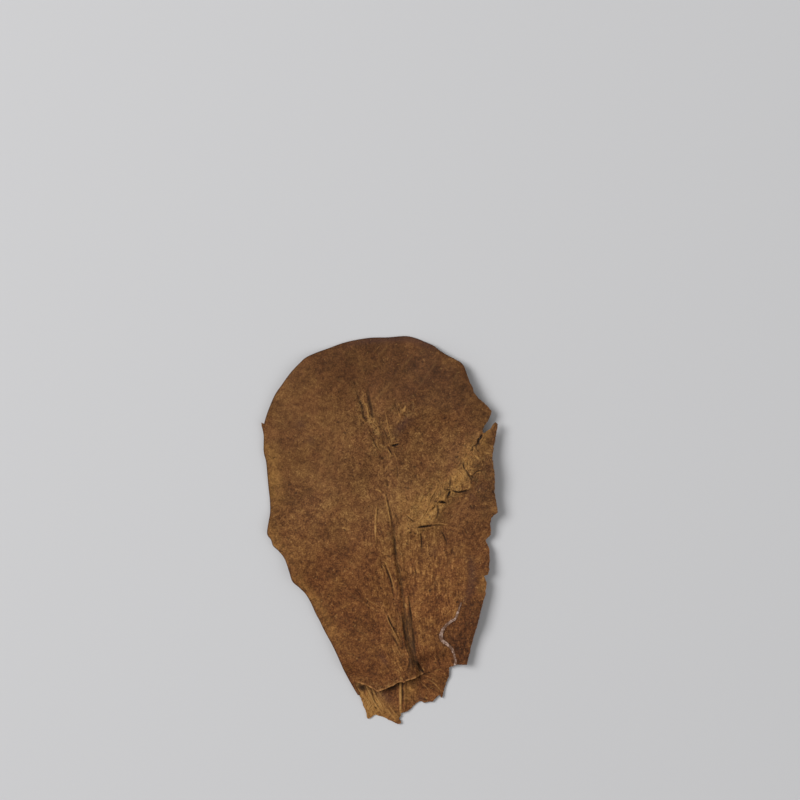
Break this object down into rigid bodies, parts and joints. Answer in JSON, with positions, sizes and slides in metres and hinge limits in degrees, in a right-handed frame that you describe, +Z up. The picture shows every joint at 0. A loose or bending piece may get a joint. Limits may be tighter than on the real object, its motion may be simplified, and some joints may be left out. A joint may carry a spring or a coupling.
{
  "type": "indian almond leaf",
  "caption": "Dried brown leaf lying face up: one thin waved blade with a torn right margin, and its cracked foot slipped under the blade.",
  "frame": {"origin": "centre of the leaf's bounding box on the plane that it lies on", "axes": "+Y from the foot of the leaf to its tip, +X to the torn right margin, +Z up out of the leaf's face"},
  "size_m": [0.0672, 0.1104, 0.0049],
  "materials": {
    "dry_leaf": "matt dried leaf, papery and slightly leathery"
  },
  "bodies": {
    "root": {"leaf": "dry_leaf"}
  },
  "joints": []
}
